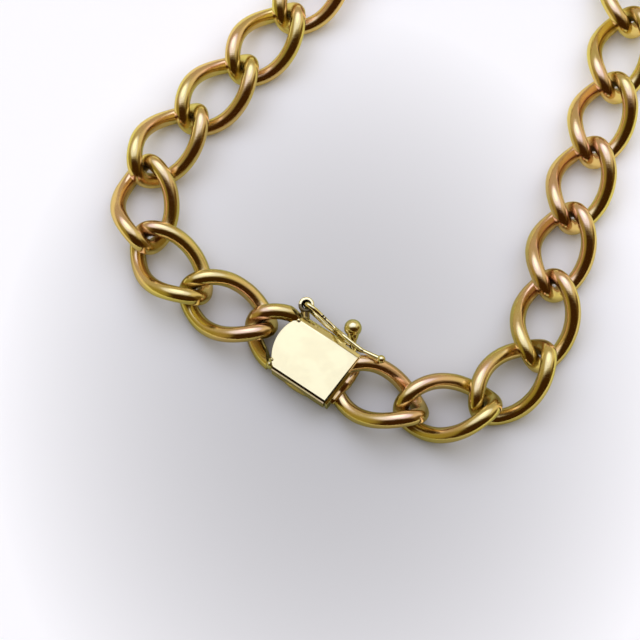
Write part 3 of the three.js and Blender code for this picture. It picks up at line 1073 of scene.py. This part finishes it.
LOOP_END = latch_point(8.7, 3.7, 0.36)
SHANK_START = latch_point(8.35, 4.18, 0.56)
LATCH_TIP = latch_point(10.54, 4.4, 0.13)
latch_points = [latch_point(row["along"], row["high"], row["high_bow"]) for row in LATCH_LOOP]
latch_points.append(LOOP_END)
latch_points += [latch_point(row["along"], row["low"], row["low_bow"]) for row in LATCH_LOOP[::-1]]


def through(points, share):
    """A smooth closed line through points: centripetal, so that no span makes a cusp."""
    count = len(points)
    place = (share % 1.0) * count
    index = int(place) % count
    p = [points[(index + shift) % count] for shift in (-1, 0, 1, 2)]
    knots = [0.0]
    for first, second in zip(p, p[1:]):
        knots.append(knots[-1] + (second - first).length ** 0.5)
    t = knots[1] + (place - int(place)) * (knots[2] - knots[1])

    def between(a, b, low, high):
        return a.lerp(b, (t - knots[low]) / (knots[high] - knots[low]))

    first = between(p[0], p[1], 0, 1)
    middle = between(p[1], p[2], 1, 2)
    last = between(p[2], p[3], 2, 3)
    return between(between(first, middle, 0, 2), between(middle, last, 1, 3), 1, 2)


def latch_centre(angle):
    return through(latch_points, angle / (2 * math.pi))


def across(angle):
    """The same way all round the loop."""
    return Vector((0, 1, 0))


THICK_END = 1.5 * MM
THICK_FADE = 1.0 * MM
THICKER_BY = 0.3


def latch_swell(angle):
    """The wire is thicker where it goes through the tube."""
    share = (THICK_END + THICK_FADE - latch_centre(angle).x) / THICK_FADE
    return 1 + THICKER_BY * min(max(share, 0), 1)


print("latch line:", len(latch_points), "points, tip", round(LATCH_TIP.x / MM, 1), "mm out")

# %% [markdown]
# The wire carries two small nicks on its upper side, between the tube and the waist. They are
# not cut: the shade in them is painted dark. A little solder fills the waist between the two runs
# of the wire.

# %% The nicks, the waist and the ball
NICKS = [
    {"along": 2.32, "half": 0.12},
    {"along": 2.66, "half": 0.1},
]
NICK_SLOPE = 0.75
LATCH_STATIONS = 420
LATCH_SIDES = 24
BALL_START = 0.56
WAIST = {"x": 4.1, "y": -0.21, "z": -0.2, "half_x": 0.55, "half_y": 0.16, "half_z": 0.3}


def nick(middle, normal):
    """1 in a nick, on the upper side of the upper wire, where the nick's shade is painted."""
    upper = normal.z > NICK_SLOPE and middle.z > 0
    in_row = any(abs(middle.x / MM - row["along"]) < row["half"] for row in NICKS)
    return 1.0 if upper and in_row else 0.0


LATCH = CLASP @ Matrix.Translation(TUBE) @ Matrix.Rotation(LATCH_HEADING, 4, "Z")
latch_loop = laid_wire(
    latch_centre, across, LATCH_WIRE, LATCH_STATIONS, LATCH_SIDES, latch_swell
)
paint_face_shade(latch_loop, nick)
shank = (LATCH_TIP - SHANK_START).length
wire_end = half_round(0, LATCH_WIRE)
shank_profile = wire_end[:len(wire_end) // 2 + 1]
shank_profile += half_round(shank, LATCH_BALL, first=BALL_START, steps=20)
latch_shank = turned(shank_profile, SHANK_START, LATCH_TIP)
smooth_all(latch_shank)
latch = merged(latch_loop, latch_shank, drop_row(WAIST, seed=61, uneven=0.02))
piece("latch_wire", latch, LATCH, CLASP_GOLD, "safety_latch", "safety_latch")

# %% [markdown]
# The tube is spun from a closed profile. Its bore is a funnel that narrows downwards, and
# it is painted black with shade. A stem and a dull drop of solder hold the tube. Both are
# painted darker with shade, and so is the side of the tube towards the box.

# %% The tube and its stem
TUBE_RADIUS = 0.88 * MM
TUBE_HALF_HEIGHT = 0.4 * MM
BORE_TOP = 0.57 * MM
BORE_FOOT = 0.32 * MM
RIM = 0.16 * MM
RIM_STEPS = 5
STEM = 0.42 * MM
STEM_TAPER = 0.9
BORE_LIP = 0.08 * MM
BORE_FLARE = 0.02 * MM
TUBE_SHADE = 0.85
STEM_SHADE = 0.45
STEM_SOLDER_SHADE = 0.8
STEM_CLEAR = 0.1 * MM
SHADED_TURN = math.radians(-20)
SHADED_REACH = 0.25
tube_profile = [(-TUBE_HALF_HEIGHT, BORE_FOOT), (-TUBE_HALF_HEIGHT, TUBE_RADIUS - RIM)]
tube_profile.append((-TUBE_HALF_HEIGHT + RIM, TUBE_RADIUS))
for step in range(RIM_STEPS + 1):
    bend = math.pi / 2 * step / RIM_STEPS
    height = TUBE_HALF_HEIGHT - RIM * (1 - math.sin(bend))
    tube_profile.append((height, TUBE_RADIUS - RIM * (1 - math.cos(bend))))
tube_profile += [
    (TUBE_HALF_HEIGHT, BORE_TOP),
    (TUBE_HALF_HEIGHT - BORE_LIP, BORE_TOP - BORE_FLARE),
    (0, BORE_TOP - BORE_LIP),
    (-TUBE_HALF_HEIGHT + BORE_LIP, BORE_FOOT),
]
tube = turned(tube_profile, Vector((0, 0, 0)), Vector((0, 0, 1)), closed=True)
bmesh.ops.translate(tube, verts=tube.verts, vec=TUBE)

corner = Vector((CLOSED_END + SHEET / 2, INNER_SIDE - SHEET, TUBE.z - SHEET))
inward = Vector((corner.x - TUBE.x, corner.y - TUBE.y, 0)).normalized()
SHADED_SIDE = Matrix.Rotation(SHADED_TURN, 3, "Z") @ inward


def tube_shade(middle, normal):
    """Painted shade: black in the bore, and brown on the side towards the box."""
    arm = Vector((middle.x - TUBE.x, middle.y - TUBE.y, 0))
    if arm.length < BORE_TOP and arm.dot(normal) < 0:
        return 1.0
    return TUBE_SHADE if arm.normalized().dot(SHADED_SIDE) > SHADED_REACH else 0.0


paint_face_shade(tube, tube_shade)
stem_end = TUBE + inward * (BORE_TOP + STEM_CLEAR)
stem_length = (stem_end - corner).length
stem_profile = [(0, 0), (0, STEM), (stem_length, STEM * STEM_TAPER), (stem_length, 0)]
stem = turned(stem_profile, corner, stem_end)
# Painted shade: the stem and its drop of solder are painted darker.
paint_face_shade(stem, lambda middle, normal: STEM_SHADE)
STEM_SOLDER = {"x": -4.2, "y": 4.15, "z": 2.55, "half_x": 0.5, "half_y": 0.42, "half_z": 0.4}
stem_solder = drop_row(STEM_SOLDER, seed=71, uneven=0.08)
paint_face_shade(stem_solder, lambda middle, normal: STEM_SOLDER_SHADE)
upright = merged(tube, stem, stem_solder)
piece("latch_tube", upright, CLASP, CLASP_GOLD, "clasp_box", "bracelet")
print("clasp pieces:", sorted(name for name in made if not name.startswith("wire_")))

# %% [markdown]
# ## The table
#
# The bracelet lies on a plain pale table. Its tone is painted light: it falls off a little
# towards the middle of the loop and grows brighter all round, along an ellipse. What the
# metal mirrors of it is painted shade, deeper and more olive, so polished edges don't wash
# out. That mirrored tone is squared, so it brightens faster outwards than the table itself does.

# %% The table
TABLE_REACH = 0.9
TABLE_CENTRE = Vector((aim.x + 1.6 * MM, aim.y - 9.4 * MM, 0))
TABLE_SPREAD = Vector((57 * MM, 70 * MM, 1.0))
# Painted light: the table's tone grows from the darkest value at the ellipse's middle outwards,
# and the metal mirrors a painted shade of it.
DARKEST_TONE = 0.554
TABLE_IN_METAL = Vector((0.5, 0.5, 0.23))
TABLE_ROUGHNESS = 0.6
TABLE_SHEEN = 0.2


def table_material():
    material = bpy.data.materials.new("pale_table")
    material.use_nodes = True
    tree = material.node_tree
    link = tree.links.new
    shader = tree.nodes["Principled BSDF"]
    shader.inputs["Roughness"].default_value = TABLE_ROUGHNESS
    shader.inputs["Specular IOR Level"].default_value = TABLE_SHEEN
    coordinates = add(tree, "ShaderNodeTexCoord")
    centred = add(tree, "ShaderNodeVectorMath", operation="SUBTRACT")
    centred.inputs[1].default_value = TABLE_CENTRE
    scaled = add(tree, "ShaderNodeVectorMath", operation="DIVIDE")
    scaled.inputs[1].default_value = TABLE_SPREAD
    squared = add(tree, "ShaderNodeVectorMath", operation="DOT_PRODUCT")
    tone = add(tree, "ShaderNodeMapRange")
    tone.inputs["From Max"].default_value = 1 - DARKEST_TONE
    tone.inputs["To Min"].default_value = DARKEST_TONE
    steeper = add(tree, "ShaderNodeMath", operation="MULTIPLY")
    shaded = add(tree, "ShaderNodeVectorMath", operation="MULTIPLY")
    shaded.inputs[1].default_value = TABLE_IN_METAL / DARKEST_TONE
    toned = add(tree, "ShaderNodeMix", data_type="RGBA")
    rays = add(tree, "ShaderNodeLightPath")
    link(coordinates.outputs["Object"], centred.inputs[0])
    link(centred.outputs["Vector"], scaled.inputs[0])
    link(scaled.outputs["Vector"], squared.inputs[0])
    link(scaled.outputs["Vector"], squared.inputs[1])
    link(squared.outputs["Value"], tone.inputs["Value"])
    link(tone.outputs["Result"], toned.inputs["A"])
    link(tone.outputs["Result"], steeper.inputs[0])
    link(tone.outputs["Result"], steeper.inputs[1])
    link(steeper.outputs["Value"], shaded.inputs[0])
    link(shaded.outputs["Vector"], toned.inputs["B"])
    link(rays.outputs["Is Glossy Ray"], toned.inputs["Factor"])
    link(toned.outputs["Result"], shader.inputs["Base Color"])
    return material


def table():
    bm = bmesh.new()
    bmesh.ops.create_grid(bm, x_segments=1, y_segments=1, size=TABLE_REACH)
    mesh = bpy.data.meshes.new("table")
    bm.to_mesh(mesh)
    bm.free()
    mesh.materials.append(table_material())
    plane = bpy.data.objects.new("table", mesh)
    bpy.context.scene.collection.objects.link(plane)


table()
print("table:", 2 * TABLE_REACH, "m wide")

# %% [markdown]
# ## The light
#
# Polished metal is the picture of what surrounds it, so the sky is built as a room. A large
# soft window stands a little north of the zenith and is brightest at its far edge. The room
# behind it is olive, with a sunnier patch to the east. The viewer's side is a very deep brown,
# with a brown patch to the east and a lighter, more olive one to the west. Cards of mesh
# could stand round the bracelet, but soft spots in the sky are out of every camera's way.

# %% The sky
ROOM = (0.50, 0.43, 0.26)
SKY = [
    {"toward": (0.85, 0.35, 0.39), "inner": 8, "outer": 38, "colour": (0.80, 0.70, 0.46)},
    {"toward": (0.0, -1.0, 0.0), "inner": 70, "outer": 95, "colour": (0.045, 0.018, 0.002)},
    {"toward": (0.97, -0.12, 0.2), "inner": 10, "outer": 32, "colour": (0.13, 0.08, 0.014)},
    {"toward": (-0.95, -0.22, 0.2), "inner": 12, "outer": 42, "colour": (0.34, 0.28, 0.06)},
    {"toward": (-0.30, 0.42, 0.86), "inner": 18, "outer": 34, "colour": (1.05, 1.12, 1.50)},
    {"toward": (0.16, 0.45, 0.88), "inner": 18, "outer": 34, "colour": (1.05, 1.12, 1.50)},
    {"toward": (-0.08, 0.60, 0.80), "inner": 4, "outer": 24, "colour": (1.9, 1.9, 2.2)},
]


def soft_mask(tree, direction, toward, inner, outer):
    """1 within the angle inner of a direction of the sky, 0 beyond outer."""
    along = add(tree, "ShaderNodeVectorMath", operation="DOT_PRODUCT")
    along.inputs[1].default_value = Vector(toward).normalized()
    mask = add(tree, "ShaderNodeMapRange", interpolation_type="SMOOTHSTEP")
    mask.inputs["From Min"].default_value = math.cos(math.radians(outer))
    mask.inputs["From Max"].default_value = math.cos(math.radians(inner))
    tree.links.new(direction, along.inputs[0])
    tree.links.new(along.outputs["Value"], mask.inputs["Value"])
    return mask.outputs["Result"]


def layered(tree, below, mask, colour):
    mix = add(tree, "ShaderNodeMix", data_type="RGBA")
    mix.inputs["B"].default_value = (*colour, 1)
    tree.links.new(below, mix.inputs["A"])
    tree.links.new(mask, mix.inputs["Factor"])
    return mix.outputs["Result"]


def sky():
    world = bpy.data.worlds.new("sky")
    world.use_nodes = True
    tree = world.node_tree
    background = tree.nodes["Background"]
    direction = add(tree, "ShaderNodeTexCoord").outputs["Generated"]
    room = add(tree, "ShaderNodeRGB")
    room.outputs["Color"].default_value = (*ROOM, 1)
    colour = room.outputs["Color"]
    for row in SKY:
        mask = soft_mask(tree, direction, row["toward"], row["inner"], row["outer"])
        colour = layered(tree, colour, mask, row["colour"])
    tree.links.new(colour, background.inputs["Color"])
    bpy.context.scene.world = world


sky()
print("sky:", len(SKY), "soft spots over one tone")

# %% [markdown]
# A wide lamp lights the table and leaves soft shadows under the chain. It is hidden from
# reflections, so the metal doesn't mirror it.

# %% The lamp over the table
LAMP_PLACE = Vector((0.0, 0.03, 0.5))
LAMP_SIZE = 1.2
LAMP_POWER = 3.2
LAMP_TINT = (0.97, 0.98, 1.0)


def table_lamp():
    lamp = bpy.data.lights.new("table_lamp", "AREA")
    lamp.size = LAMP_SIZE
    lamp.energy = LAMP_POWER
    lamp.color = LAMP_TINT
    holder = bpy.data.objects.new("table_lamp", lamp)
    holder.location = LAMP_PLACE
    holder.visible_glossy = False
    holder.visible_camera = False
    bpy.context.scene.collection.objects.link(holder)


table_lamp()
print("lamp:", LAMP_SIZE, "m wide,", LAMP_PLACE.z, "m above the table")
bpy.context.scene.view_settings.view_transform = "Standard"

# %% [markdown]
# ## The end of the script
#
# The number of finished pieces is printed.

# %% Count the pieces and finish
print("pieces:", len(made))
